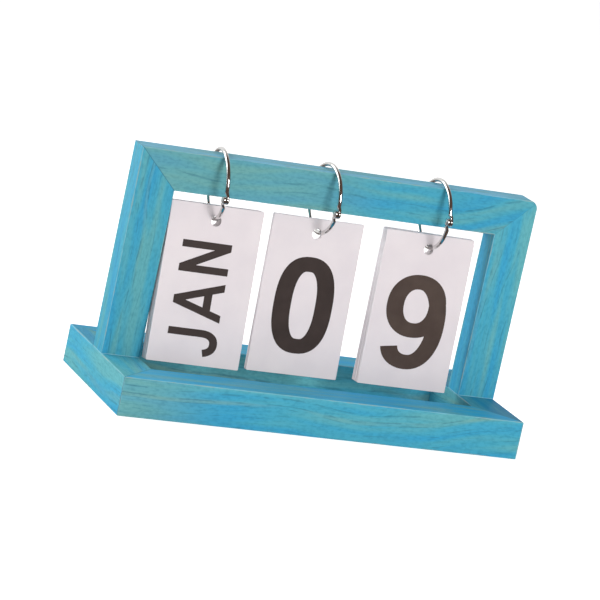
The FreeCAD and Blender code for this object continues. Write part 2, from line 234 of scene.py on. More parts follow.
@dataclass(frozen=True)
class Clouding:
    """A cloudy pattern with patches of given sizes each way, in millimetres.

    Detail is how fine it is. Its strength is about 0.5, and the span is the strengths at which the
    pattern starts to show and shows in full.
    """

    sizes: tuple[float, ...]
    detail: float
    span: Pair = (0, 1)

    def strength(self, tree: Tree, axes: Iterable[Socket]) -> Socket:
        """Makes the pattern.

        Args:
            tree: The node tree.
            axes: The place in millimetres, as many values as there are sizes.

        Returns:
            The pattern's strength.
        """
        scaled = [add_node(tree, "Math", (axis, 1 / size), **TIMES) for axis, size in zip(axes, self.sizes)]
        inputs = {"Scale": 1, "Detail": self.detail}
        if len(scaled) == 1:
            return add_node(tree, "TexNoise", inputs | {"W": scaled[0]}, noise_dimensions="1D")
        return add_node(tree, "TexNoise", inputs | {"Vector": add_node(tree, "CombineXYZ", scaled)})

    def share(self, tree: Tree, axes: Iterable[Socket]) -> Socket:
        """How much of the pattern shows, from 0 to 1."""
        return add_node(tree, "MapRange", (self.strength(tree, axes), *self.span), **EASED)


class Grain(Enum):
    """The way that a piece of wood's fibres run, as the order of axes: along, across, across."""

    ALONG_X = (0, 1, 2)
    ALONG_Y = (1, 0, 2)
    ALONG_Z = (2, 0, 1)


@dataclass(frozen=True)
class Cut:
    """How one piece was sawn and joined, in millimetres.

    The pith is the tree's middle, across the fibres from the piece's middle. Past turn_start the
    fibres bend up, as they do beside a knot. The mitres lie where the weights, times the absolute
    place in the frame, come to mitre_offset. Resin is how much of its bands shows, and tone a
    factor on the piece's colour; the right rail's low tone is painted shade. The top colour is laid
    on the piece's upward faces: painted light on the top rail, painted shade on the right rail, and
    a deeper blue on the front and rear rails. Before pale_end, counted from the middle, a share of
    the stain didn't take.
    """

    grain: Grain
    pith: Pair
    seed: float
    mitre_weights: Triple
    mitre_offset: float
    turn_start: float = 0
    turn: float = 0
    resin: float = 0.7
    tone: float = 1
    top_tint_and_shading: str = ""
    pale_end: float = 0
    pale_share: float = 0

    def mitre_plane(self) -> tuple[Vector, float]:
        """The mitres' plane with weights of length 1, so that its value is in millimetres."""
        weights = Vector(self.mitre_weights)
        return weights / weights.length, self.mitre_offset / weights.length


@dataclass(frozen=True)
class StainedPine:
    """Planed pine, given a thin blue water stain with a cloth and rubbed back with fine paper.

    The stain is a turquoise that goes green-grey over the resinous rings and deeper blue where it
    lay thicker, and the rubbing leaves the edges pale. Upward faces get a colour of each piece's
    own: painted light on the top rail, painted shade on the right rail, a deeper blue on the front
    and rear rails. Sizes are millimetres. The fibres are drawn 0.4 wide, ten times the real width,
    because finer ones don't show.
    """

    stain: str = "#49aac2"
    pooled_stain: str = "#3aa3c9"
    thin_stain: str = "#62b0b8"
    stain_stops: Triple = (0.36, 0.5, 0.66)
    resin_band: str = "#7fab9c"
    late_wood: str = "#34798a"
    late_wood_share: float = 0.45
    fibre_shade: str = "#ecf1f3"
    mottle_shade: str = "#e2eaed"
    shade_share: float = 0.8
    # a deeper blue laid on the upward faces of the front and rear rails
    deep_blue_top: str = "#18a8dc"
    # painted shadow: the right rail's top, darkened for the stile's shadow that falls on it
    shaded_top: str = "#0f83ad"
    # painted light: the top rail's top, lightened for the light that falls on it from above
    painted_light_top: str = "#78c0e0"
    top_facing: Pair = (0.5, 0.9)
    top_slope: float = -1.6
    top_share: float = 1.36
    rubbed_edge: str = "#9fd2dc"
    bare_edge: str = "#a9bbb2"
    edge_reach: float = 1.0
    edge_fade: float = 0.35
    edge_share: float = 0.55
    joint_line: str = "#2f6f84"
    joint_fade: Pair = (0.224, 0.096)
    joint_sides: Pair = (-30, 30)
    joint_shares: Pair = (0.75, 0.25)
    pale_fade: float = 45
    wander_reach: float = 9
    wander: Clouding = Clouding((70,), 1)
    cloud: Clouding = Clouding((70, 6, 6), 1.5)
    bands: Clouding = Clouding((5,), 1, (0.54, 0.68))
    ragged: Clouding = Clouding((45, 4, 4), 2, (0.36, 0.6))
    rings: Clouding = Clouding((0.7,), 2, (0.58, 0.66))
    broken: Clouding = Clouding((9, 1.4, 1.4), 1, (0.45, 0.6))
    fibres: Clouding = Clouding((11.2, 0.4, 0.4), 2, (0.3, 0.52))
    mottle: Clouding = Clouding((2.2, 1.1, 1.1), 3, (0.34, 0.56))
    uneven: Clouding = Clouding((12, 12, 12), 3, (0.5, 0.6))
    roughness: Pair = (0.62, 0.5)
    relief: Pair = (0.5, 0.05)
    relief_span: Pair = (0.25, 0.75)
    ior: float = 1.45
    specular: float = 0.25

    def material(self, name: str, cut: Cut, low: Vector, high: Vector) -> Material:
        """Makes the finish of one piece of wood.

        Args:
            name: The material's name.
            cut: How the piece was sawn and joined.
            low: The piece's lowest corner.
            high: The piece's highest corner.

        Returns:
            The material.
        """
        material, shader = new_material(name)
        tree = material.node_tree
        add = partial(add_node, tree)
        coords = add("TexCoord").node.outputs
        place = add("VectorMath", {0: coords["Object"], "Scale": 1 / MM}, operation="SCALE")
        centred = add("VectorMath", (place, (low + high) / (2 * MM)), **MINUS)
        axes = add("SeparateXYZ", (centred,)).node.outputs
        along, first, second = (axes[i] for i in cut.grain.value)
        shifted = add("Math", (along, cut.seed), **PLUS)
        level, radius = self.growth(tree, cut, shifted, along, first, second)
        sawn, grown = (shifted, first, second), (shifted, first, level)
        cloud = self.cloud.strength(tree, grown)
        fibres = self.fibres.strength(tree, sawn)

        stains = (linear(stain) for stain in (self.pooled_stain, self.stain, self.thin_stain))
        colour = add("ValToRGB", (cloud,), stops=list(zip(self.stain_stops, stains)))
        band = add("Math", (self.bands.share(tree, (radius,)), self.ragged.share(tree, grown)), **TIMES)
        line = add("Math", (self.rings.share(tree, (radius,)), self.broken.share(tree, grown)), **TIMES)
        pale = add("MapRange", (along, cut.pale_end + self.pale_fade, cut.pale_end), **EASED)
        layers = [
            (add("Math", (band, cut.resin), **TIMES), linear(self.resin_band), "MIX"),
            (add("Math", (pale, cut.pale_share), **TIMES), linear(self.resin_band), "MIX"),
            (add("Math", (line, self.late_wood_share), **TIMES), linear(self.late_wood), "MIX"),
        ]
        mottle = self.mottle.strength(tree, sawn)
        for pattern, (start, end), shade in (
            (fibres, self.fibres.span, self.fibre_shade),
            (mottle, self.mottle.span, self.mottle_shade),
        ):
            depth = add("ValToRGB", (pattern,), stops=[(start, linear(shade)), (end, WHITE)])
            layers.append((self.shade_share, depth, "MULTIPLY"))
        layers.append((1, (cut.tone, cut.tone, cut.tone, 1), "MULTIPLY"))
        # upward faces take the piece's top colour in patches: painted light on the top rail, painted shade on
        # the right rail, a deeper blue on the front and rear rails
        if cut.top_tint_and_shading:
            rise = add("SeparateXYZ", (coords["Normal"],), "Z")
            upward = add("MapRange", (rise, *self.top_facing), **EASED)
            top_patches = add("Math", (cloud, self.top_slope, self.top_share), operation="MULTIPLY_ADD")
            layers.append((add("Math", (upward, top_patches), **TIMES), linear(cut.top_tint_and_shading), "MIX"))
        layers.append(self.rubbing(tree, axes, (high - low) / (2 * MM)))
        layers.append((self.seam(tree, cut, place), linear(self.joint_line), "MIX"))
        for share, over, way in layers:
            inputs = {"Factor": share, "A": colour, "B": over}
            colour = add("Mix", inputs, "Result", blend_type=way, **OF_COLOURS)

        relief = follow(tree, fibres, self.roughness, self.relief, self.relief_span)
        feed(shader, {"Base Color": colour, "IOR": self.ior, "Specular IOR Level": self.specular, **relief})
        return material

    def growth(
        self, tree: Tree, cut: Cut, shifted: Socket, along: Socket, first: Socket, second: Socket
    ) -> tuple[Socket, Socket]:
        """Finds the place in the tree, uneven along the piece and bent up beside the knot.

        Args:
            tree: The node tree.
            cut: How the piece was sawn.
            shifted: The place along the fibres, with the piece's own seed.
            along: The place along the fibres.
            first: The place across them, one way.
            second: The place across them, the other way.

        Returns:
            How high over the tree's middle the place is, and how far from that middle.
        """
        add = partial(add_node, tree)
        past_turn = add("Math", (add("Math", (along, cut.turn_start), **MINUS), 0), operation="MAXIMUM")
        bend = add("Math", (add("Math", (past_turn, 2), operation="POWER"), cut.turn), **TIMES)
        wander = add("Math", (self.wander.strength(tree, (shifted,)), self.wander_reach), **TIMES)
        level = add("Math", (add("Math", (second, cut.pith[1]), **MINUS), wander), **PLUS)
        level = add("Math", (level, bend), **MINUS)
        across = add("CombineXYZ", (add("Math", (first, cut.pith[0]), **MINUS), level))
        return level, add("VectorMath", (across,), "Value", operation="LENGTH")

    def rubbing(self, tree: Tree, axes: Sequence[Socket], half: Vector) -> tuple[Socket, Socket, str]:
        """Bares the edges of a box unevenly.

        Args:
            tree: The node tree.
            axes: The place in the box, in millimetres from its middle.
            half: Half the box's sides, in millimetres.

        Returns:
            The share of the layer, its colour, and how it is laid on.
        """
        add = partial(add_node, tree)
        x, y, z = (
            add("Math", (side, add("Math", (axis,), **UNSIGNED)), **MINUS) for axis, side in zip(axes, half)
        )
        # the nearest edge is as far as the second nearest of three faces
        nearer = add("Math", (x, y), operation="MINIMUM")
        further = add("Math", (x, y), operation="MAXIMUM")
        edge = add("Math", (nearer, add("Math", (further, z), operation="MINIMUM")), operation="MAXIMUM")
        uneven = self.uneven.strength(tree, axes)
        reach = add("Math", (uneven, self.edge_reach), **TIMES)
        bare = add("MapRange", (add("Math", (reach, edge), **MINUS), 0, self.edge_fade), **EASED)
        worn = add("MapRange", (uneven, *self.uneven.span), **EASED)
        edges = {"Factor": worn, "A": linear(self.rubbed_edge), "B": linear(self.bare_edge)}
        share = add("Math", (bare, self.edge_share), **TIMES)
        return share, add("Mix", edges, "Result", **OF_COLOURS), "MIX"

    def seam(self, tree: Tree, cut: Cut, place: Socket) -> Socket:
        """Draws the dark line of glue along the mitres, tighter on the right of the stand.

        Args:
            tree: The node tree.
            cut: How the piece was joined.
            place: The place in the frame, in millimetres.

        Returns:
            How much of the line shows.
        """
        add = partial(add_node, tree)
        weights, offset = cut.mitre_plane()
        size = add("VectorMath", (place,), **UNSIGNED)
        plane = add("VectorMath", (size, weights), "Value", operation="DOT_PRODUCT")
        gap = add("Math", (add("Math", (plane, offset), **MINUS),), **UNSIGNED)
        line = add("MapRange", (gap, *self.joint_fade), **EASED)
        side = add("SeparateXYZ", (place,), "X")
        width = add("MapRange", (side, *self.joint_sides, *self.joint_shares))
        return add("Math", (line, width), **TIMES)


@dataclass(frozen=True)
class ChromePlate:
    """Chrome plated steel, barrel polished: a mirror with a little haze.

    On the wire it is a clear mirror. A riveted head keeps the hammer's marks, and scatters light.
    In this finish and the next ones a pattern is its blotches per millimetre and how fine it is,
    dents are how strongly they show and their depth in millimetres, and stops are the strengths of
    the pattern at which the two colours stand.
    """

    name: str = "chrome_plated_wire"
    colour: str = "#d9d8d6"
    roughness: Pair = (0.07, 0.16)
    dents: Pair = (0.15, 0.02)
    haze: Pair = (1.1, 3)

    def material(self) -> Material:
        """Makes the finish.

        Returns:
            The material.
        """
        material, shader = new_material(self.name)
        tree = material.node_tree
        relief = follow(tree, blotches(tree, *self.haze), self.roughness, self.dents)
        feed(shader, {"Base Color": linear(self.colour), "Metallic": 1, **relief})
        return material


@dataclass(frozen=True)
class ZincPlate:
    """Zinc plated screw steel: a soft grey shine with faint blotches from the bath."""

    light: str = "#b9bcbe"
    dark: str = "#8f9294"
    stops: Pair = (0.35, 0.65)
    roughness: Pair = (0.42, 0.28)
    bath: Pair = (0.7, 4)

    def material(self) -> Material:
        """Makes the finish.

        Returns:
            The material.
        """
        material, shader = new_material("zinc_plated_screw")
        tree = material.node_tree
        bath = blotches(tree, *self.bath)
        stops = list(zip(self.stops, (linear(self.dark), linear(self.light))))
        colour = add_node(tree, "ValToRGB", (bath,), stops=stops)
        feed(shader, {"Base Color": colour, "Metallic": 1, **follow(tree, bath, self.roughness)})
        return material


@dataclass(frozen=True)
class PrintedBoard:
    """Smooth white chip board, cut on a guillotine: satin faces, and cut edges brightened with painted light.
    """

    face: str = "#e6dcde"
    face_shade: str = "#e1d7da"
    painted_light_edge: str = "#f6eff1"
    stops: Pair = (0.35, 0.6)
    cloud: Pair = (0.06, 4)
    tooth: Pair = (2.5, 3)
    flatness: float = 0.8
    roughness: Pair = (0.5, 0.62)
    dents: Pair = (0.3, 0.01)
    specular: float = 0.35

    def material(self) -> Material:
        """Makes the finish.

        Returns:
            The material.
        """
        material, shader = new_material("white_card_board")
        tree = material.node_tree
        stops = list(zip(self.stops, (linear(self.face_shade), linear(self.face))))
        face = add_node(tree, "ValToRGB", (blotches(tree, *self.cloud),), stops=stops)
        # cards face front and back, so the cut edges are what looks anywhere else, and their brighter colour
        # is painted light
        front = add_node(tree, "SeparateXYZ", (add_node(tree, "TexCoord", output="Normal"),), "Y")
        flat = add_node(tree, "Math", (front,), **UNSIGNED)
        is_edge = add_node(tree, "Math", (flat, self.flatness), operation="LESS_THAN")
        sides = {"Factor": is_edge, "A": face, "B": linear(self.painted_light_edge)}
        colour = add_node(tree, "Mix", sides, "Result", **OF_COLOURS)
        relief = follow(tree, blotches(tree, *self.tooth), self.roughness, self.dents)
        feed(shader, {"Base Color": colour, "Specular IOR Level": self.specular, **relief})
        return material


@dataclass(frozen=True)
class PrintInk:
    """Warm black offset ink: nearly flat, with a slight satin where it lies thick."""

    name: str = "black_offset_ink"
    thick: str = "#362a27"
    thin: str = "#3f322f"
    stops: Pair = (0.35, 0.7)
    cover: Pair = (0.12, 5)
    roughness: Pair = (0.42, 0.55)
    specular: float = 0.2

    def material(self) -> Material:
        """Makes the finish.

        Returns:
            The material.
        """
        material, shader = new_material(self.name)
        tree = material.node_tree
        cover = blotches(tree, *self.cover)
        stops = list(zip(self.stops, (linear(self.thick), linear(self.thin))))
        colour = add_node(tree, "ValToRGB", (cover,), stops=stops)
        relief = follow(tree, cover, self.roughness)
        feed(shader, {"Base Color": colour, "Specular IOR Level": self.specular, **relief})
        return material


# The stand


@dataclass
class Stand:
    """The base of four mitred rails, and the upright frame that two screws hold on it.

    Sizes are millimetres.
    """

    half_length: float = 100
    half_depth: float = 43
    rail_width: float = 19
    frame_top: float = 116.5
    frame_rail_underside: float = 98
    finish: StainedPine = field(default_factory=StainedPine)
    screws: ZincPlate = field(default_factory=ZincPlate)

    def cuts(self) -> dict[str, Cut]:
        """Lists how each piece of wood was sawn and joined.

        Returns:
            The cuts, by the names of the nodes.
        """
        base = ((1, -1, 0), self.half_length - self.half_depth)
        inner = self.half_length - self.rail_width
        rise = self.frame_top - self.frame_rail_underside
        upright = ((rise, 0, -self.rail_width), rise * inner - self.rail_width * self.frame_rail_underside)
        deep_top, lit_top, shaded = self.finish.deep_blue_top, self.finish.painted_light_top, self.finish.shaded_top
        front = {"turn_start": 15, "turn": 0.0016, "resin": 0.9, "pale_end": -90, "pale_share": 0.45}
        top = {"turn_start": 25, "turn": 0.002, "resin": 0.9, "pale_end": -15, "pale_share": 0.4}
        return {
            "base_front_rail": Cut(Grain.ALONG_X, (30, -22), 0, *base, top_tint_and_shading=deep_top, **front),
            "base_rear_rail": Cut(Grain.ALONG_X, (26, 14), 310, *base, top_tint_and_shading=deep_top),
            "base_left_rail": Cut(Grain.ALONG_Y, (24, -18), 620, *base, resin=0.3, tone=1.04),
            # the right rail's low tone and its dark top are painted shade from the stile's shadow
            "base_right_rail": Cut(Grain.ALONG_Y, (-22, -26), 930, *base, tone=0.85, top_tint_and_shading=shaded),
            "left_stile": Cut(Grain.ALONG_Z, (30, 34), 1240, *upright, resin=0.45, tone=0.94),
            "right_stile": Cut(Grain.ALONG_Z, (16, 40), 1550, *upright, resin=0.4, tone=0.98),
            # the top rail's light top is painted light
            "top_rail": Cut(Grain.ALONG_X, (38, 12), 1860, *upright, tone=0.92, top_tint_and_shading=lit_top, **top),
        }

    def dress(self) -> None:
        """Gives every piece of wood its own cut of pine, and the screws their plating."""
        for node, cut in self.cuts().items():
            low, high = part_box(node)
            dress_node(node, self.finish.material(f"stained_pine_{node}", cut, low, high))
            log.info("dressed %s", node)
        dress_node("frame_screws", self.screws.material())
        log.info("dressed frame_screws")


# The rings


def squared(value: float, squareness: float) -> float:
    """Bends a sine or cosine so that a circle gets squarer. A squareness of 2 keeps it round."""
    return math.copysign(abs(value) ** (2 / squareness), value)


@dataclass(frozen=True)
class Station:
    """One cross section of a swept wire: its place and its half sizes, in millimetres."""

    along: float
    depth: float
    across: float
    shift: float = 0
    squareness: float = 2


@dataclass
class BookRing:
    """A hinged book ring: two half rings of wire with forged eyes, and the rivet through them.

    Sizes are millimetres.
    """

    stack: str
    wire_radius: float = 1.0
    eye_radius: float = 1.9
    eye_thickness: float = 1.3
    eye_gap: float = 0.2
    eye_squareness: float = 5
    flow_length: float = 2.2
    flow_softness: float = 0.2
    clasp_gap: float = 0.2
    peg_radius: float = 0.5
    peg_length: float = 1.0
    peg_fit: float = 0.1
    end_bevel: float = 0.15
    rivet_radius: float = 1.3
    rivet_height: float = 0.5
    sharp_angle: float = 50
    eye_steps: int = 14
    flow_steps: int = 22
    wire_steps: int = 72
    dome_steps: int = 8
    sides: int = 28

    def __post_init__(self) -> None:
        """Reads the ring's middle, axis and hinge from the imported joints."""
        turn = joint(f"{self.stack}_ring_turn")
        hinge = Vector(joint(f"{self.stack}_ring_open")["pos_m"])
        self.middle = Vector(turn["pos_m"])
        self.axis = Vector(turn["axis"]).normalized()
        out = hinge - self.middle
        self.radius = out.length / MM
        self.out = out.normalized()
        self.up = self.axis.cross(self.out)
        self.angles = [2 * math.pi * i / self.sides for i in range(self.sides)]

    def point(self, along: float, depth: float, across: float) -> Vector:
        """Finds a point of the ring.

        Args:
            along: Millimetres from the hinge along the wire, positive for the upper half.
            depth: Millimetres outwards from the wire's middle.
            across: Millimetres along the ring's axis.

        Returns:
            The point, in the frame's metres.
        """
        angle = along / self.radius
        away = (self.out * math.cos(angle) + self.up * math.sin(angle)) * (self.radius + depth)
        return self.middle + (away + self.axis * across) * MM

    def stations(self, upper: bool) -> list[Station]:
        """Lists the cross sections from the eye's far side to the clasp.

        Args:
            upper: Whether the half is the upper one, which carries the peg.

        Returns:
            The cross sections, in order.
        """
        half_eye = self.eye_thickness / 2
        eye_shift = (-1 if upper else 1) * (self.eye_gap / 2 + half_eye)
        made = []
        for i in range(self.eye_steps + 1):
            along = -self.eye_radius * math.cos(math.pi / 2 * i / self.eye_steps)
            depth = math.sqrt(max(self.eye_radius**2 - along**2, 1e-6))
            made.append(Station(along, depth, half_eye, eye_shift, self.eye_squareness))

        # the eye's outline runs softly into the wire's, and the flat eye turns into round wire
        flow_start = self.eye_radius + self.eye_gap / 2
        flow_end = flow_start + self.flow_length
        for i in range(1, self.flow_steps + 1):
            along = flow_end * i / self.flow_steps
            round_eye = math.sqrt(max(self.eye_radius**2 - along**2, 0))
            soft = math.hypot((self.wire_radius - round_eye) / 2, self.flow_softness)
            depth = (self.wire_radius + round_eye) / 2 + soft - self.flow_softness * i / self.flow_steps
            share = min(max((along - flow_start) / self.flow_length, 0), 1)
            ease = share * share * (3 - 2 * share)
            made.append(
                Station(
                    along,
                    max(depth, self.wire_radius) if share < 1 else self.wire_radius,
                    half_eye + (self.wire_radius - half_eye) * ease,
                    eye_shift * (1 - ease),
                    self.eye_squareness + (2 - self.eye_squareness) * ease,
                )
            )

        end = math.pi * self.radius - self.clasp_gap / 2
        bevel_start = end - self.end_bevel
        for i in range(1, self.wire_steps + 1):
            along = flow_end + (bevel_start - flow_end) * i / self.wire_steps
            made.append(Station(along, self.wire_radius, self.wire_radius))
        stub = self.peg_radius if upper else self.peg_radius + self.peg_fit
        tip = end + (self.clasp_gap + self.peg_length) * (1 if upper else -1)
        for along, size in ((end, self.wire_radius - self.end_bevel), (end, stub), (tip, stub)):
            made.append(Station(along, size, size))
        return made

    def half(self, upper: bool, finish: Material) -> bpy.types.Object:
        """Sweeps one half ring.

        Args:
            upper: Whether the half is the upper one.
            finish: Its material.

        Returns:
            The half ring, riding on its body.
        """
        name = f"{self.stack}_ring_{'upper' if upper else 'lower'}"
        way = 1 if upper else -1
        loops = []
        for station in self.stations(upper):
            loop = []
            for angle in self.angles:
                depth = station.depth * squared(math.cos(angle), station.squareness)
                across = station.across * squared(math.sin(angle), station.squareness) + station.shift
                loop.append(self.point(way * station.along, depth, across))
            loops.append(loop)
        bm, rows = self.skin(loops)
        bm.faces.new(rows[0])
        bm.faces.new(rows[-1])
        made = self.finished(bm, f"{name}_wire", finish)
        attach(made, name)
        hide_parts(name)
        return made

    def rivet(self, finish: Material) -> bpy.types.Object:
        """Turns the rivet, with a domed head on each side.

        Args:
            finish: Its material.

        Returns:
            The rivet, riding on the lower half.
        """
        face = self.eye_gap / 2 + self.eye_thickness
        profile = [(0.0, -face - self.rivet_height)]
        for i in range(1, self.dome_steps + 1):
            angle = math.pi / 2 * i / self.dome_steps
            rise = self.rivet_height * math.cos(angle)
            profile.append((self.rivet_radius * math.sin(angle), -face - rise))
        profile.append((self.rivet_radius / 2, -face))
        profile += [(radius, -height) for radius, height in reversed(profile)]
        loops = [
            [self.point(radius * math.sin(angle), radius * math.cos(angle), height) for angle in self.angles]
            for radius, height in profile
        ]
        bm, _ = self.skin(loops)
        bmesh.ops.remove_doubles(bm, verts=bm.verts, dist=1e-7)
        made = self.finished(bm, f"{self.stack}_ring_domed_rivet", finish)
        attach(made, f"{self.stack}_ring_lower")
        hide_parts(f"{self.stack}_ring_rivet")
        return made

    def skin(
        self, loops: Iterable[Sequence[Vector]]
    ) -> tuple[bmesh.types.BMesh, list[list[bmesh.types.BMVert]]]:
        """Lays faces between loops of points that follow each other.

        Args:
            loops: The loops, with a point for each side.

        Returns:
            The mesh, and its points loop by loop.
        """
        bm = bmesh.new()
        rows = [[bm.verts.new(point) for point in loop] for loop in loops]
        for before, after in zip(rows, rows[1:]):
            for i in range(self.sides):
                j = (i + 1) % self.sides
                bm.faces.new((before[i], before[j], after[j], after[i]))
        return bm, rows

    def finished(self, bm: bmesh.types.BMesh, name: str, finish: Material) -> bpy.types.Object:
        """Turns a mesh into a smooth object whose sharp edges stay sharp.

        Args:
            bm: The mesh, which is used up.
            name: The object's name.
            finish: Its material.

        Returns:
            The object.
        """
        bmesh.ops.recalc_face_normals(bm, faces=bm.faces)
        mesh = bpy.data.meshes.new(name)
        bm.to_mesh(mesh)
        bm.free()
        mesh.shade_smooth()
        mesh.set_sharp_from_angle(angle=math.radians(self.sharp_angle))
        return link_object(name, mesh, finish)

    def build(self, wire: Material, riveted: Material) -> None:
        """Builds the ring's two halves and its rivet."""
        for upper in (False, True):
            log.info("built %s", self.half(upper, wire).name)
        log.info("built %s", self.rivet(riveted).name)


# The print


@dataclass(frozen=True)
class Arc:
    """Part of a squared ellipse, in shares of a character's box, with angles in degrees."""

    middle: Pair
    reach: Pair
    start: float
    end: float
    squareness: float = 2.4

    def points(self) -> list[Pair]:
        """Lists the arc's points, about every 6 degrees.

        Returns:
            The points, from its start to its end.
        """
        count = max(8, int(abs(self.end - self.start) / 6))
        made = []
        for i in range(count + 1):
            angle = math.radians(self.start + (self.end - self.start) * i / count)
            x, y = (squared(way(angle), self.squareness) for way in (math.cos, math.sin))
            made.append((self.middle[0] + self.reach[0] * x, self.middle[1] + self.reach[1] * y))
        return made


@dataclass(frozen=True)
class Character:
    """A character as pen strokes.

    The strokes are runs of points and arcs in shares of the box that the pen's middle stays in.
    The width is a share of the height.
    """

    width: float
    strokes: tuple[tuple[Pair | Arc, ...], ...]


UPPER_BOWL = Arc((0.5, 0.745), (0.5, 0.255), 90, -90)

CHARACTERS: Mapping[str, Character] = {
    "0": Character(0.643, ((Arc((0.5, 0.5), (0.5, 0.5), 0, 360, 2.55),),)),
    "1": Character(0.42, (((0.85, 0), (0.85, 1)), ((0.8, 0.95), (0.5, 0.8), (0.0, 0.74)))),
    "2": Character(
        0.64, ((Arc((0.5, 0.7), (0.48, 0.3), 172, -32, 2.2), (0.05, 0.03)), ((0, 0), (1, 0)))
    ),
    "3": Character(
        0.64,
        (
            (Arc((0.48, 0.75), (0.46, 0.25), 165, -80, 2.2),),
            (Arc((0.47, 0.27), (0.53, 0.27), 80, -165, 2.2),),
            ((0.36, 0.52), (0.56, 0.52)),
        ),
    ),
    "4": Character(0.68, (((0.74, 0), (0.74, 1)), ((0.68, 1), (0, 0.27)), ((0, 0.25), (1, 0.25)))),
    "5": Character(
        0.64,
        (
            ((0.2, 1), (0.94, 1)),
            ((0.17, 1), (0.07, 0.5)),
            (Arc((0.46, 0.32), (0.54, 0.32), 132, -162, 2.2),),
        ),
    ),
    "6": Character(
        0.685,
        (
            (Arc((0.523, 0.301), (0.477, 0.301), 0, 360, 2.2),),
            (
                Arc((0.54, 0.78), (0.43, 0.22), 10, 90, 2.2),
                Arc((0.54, 0.5), (0.54, 0.5), 90, 180, 2.2),
                Arc((0.52, 0.49), (0.52, 0.49), 180, 270, 2.2),
            ),
        ),
    ),
    "7": Character(0.62, (((0, 1), (1, 1)), ((0.98, 0.98), (0.55, 0.5), (0.36, 0)))),
    "8": Character(
        0.65,
        (
            (Arc((0.5, 0.755), (0.44, 0.245), 0, 360, 2.2),),
            (Arc((0.5, 0.265), (0.5, 0.265), 0, 360, 2.2),),
        ),
    ),
    "9": Character(
        0.685,
        (
            (Arc((0.477, 0.699), (0.477, 0.301), 0, 360, 2.2),),
            (
                Arc((0.46, 0.22), (0.43, 0.22), 190, 270, 2.2),
                Arc((0.46, 0.5), (0.54, 0.5), 270, 360, 2.2),
                Arc((0.48, 0.51), (0.52, 0.49), 0, 90, 2.2),
            ),
        ),
    ),
    "A": Character(0.758, (((0.05, 0), (0.46, 1)), ((0.95, 0), (0.54, 1)), ((0.2, 0.274), (0.8, 0.274)))),
    "B": Character(
        0.6,
        (
            ((0, 0), (0, 1)),
            ((0, 1), (0.5, 1), Arc((0.5, 0.765), (0.42, 0.235), 90, -90), (0, 0.53)),
            ((0, 0.53), (0.5, 0.53), Arc((0.5, 0.265), (0.5, 0.265), 90, -90), (0, 0)),
        ),
    ),
    "C": Character(0.64, ((Arc((0.52, 0.5), (0.52, 0.53), 45, 315),),)),
    "D": Character(
        0.62, (((0, 0), (0, 1)), ((0, 1), (0.4, 1), Arc((0.4, 0.5), (0.6, 0.5), 90, -90), (0, 0)))
    ),
    "E": Character(
        0.54, (((0, 0), (0, 1)), ((0, 1), (1, 1)), ((0, 0), (1, 0)), ((0, 0.52), (0.95, 0.52)))
    ),
    "F": Character(0.52, (((0, 0), (0, 1)), ((0, 1), (1, 1)), ((0, 0.5), (0.95, 0.5)))),
    "G": Character(
        0.66,
        (
            (Arc((0.52, 0.5), (0.52, 0.53), 45, 318), (0.98, 0.2), (0.98, 0.44)),
            ((0.6, 0.44), (1, 0.44)),
        ),
    ),
    "J": Character(0.493, (((1, 1), (1, 0.31), Arc((0.46, 0.3), (0.54, 0.335), 0, -165, 2.3)),)),
    "L": Character(0.5, (((0, 0), (0, 1)), ((0, 0), (1, 0)))),
    "M": Character(
        0.74, (((0, 0), (0, 1)), ((0.04, 1), (0.5, 0.1)), ((0.5, 0.1), (0.96, 1)), ((1, 1), (1, 0)))
    ),
    "N": Character(0.605, (((0, 0), (0, 1)), ((0.06, 1), (0.94, 0)), ((1, 0), (1, 1)))),
    "O": Character(0.68, ((Arc((0.5, 0.5), (0.5, 0.53), 0, 360),),)),
    "P": Character(0.58, (((0, 0), (0, 1)), ((0, 1), (0.5, 1), UPPER_BOWL, (0, 0.49)))),
    "R": Character(
        0.62, (((0, 0), (0, 1)), ((0, 1), (0.5, 1), UPPER_BOWL, (0, 0.49)), ((0.5, 0.49), (0.98, 0)))
    ),
    "S": Character(
        0.62,
        (
            (
                Arc((0.5, 0.765), (0.47, 0.265), 22, 232, 2.2),
                Arc((0.5, 0.255), (0.5, 0.285), 52, -158, 2.2),
            ),
        ),
    ),
    "T": Character(0.6, (((0, 1), (1, 1)), ((0.5, 1), (0.5, 0)))),
    "U": Character(0.61, (((0, 1), (0, 0.34), Arc((0.5, 0.33), (0.5, 0.365), 180, 360), (1, 1)),)),
    "V": Character(0.72, (((0.04, 1), (0.46, 0)), ((0.54, 0), (0.96, 1)))),
    "Y": Character(0.7, (((0, 1), (0.5, 0.42)), ((1, 1), (0.5, 0.42)), ((0.5, 0.46), (0.5, 0)))),
}


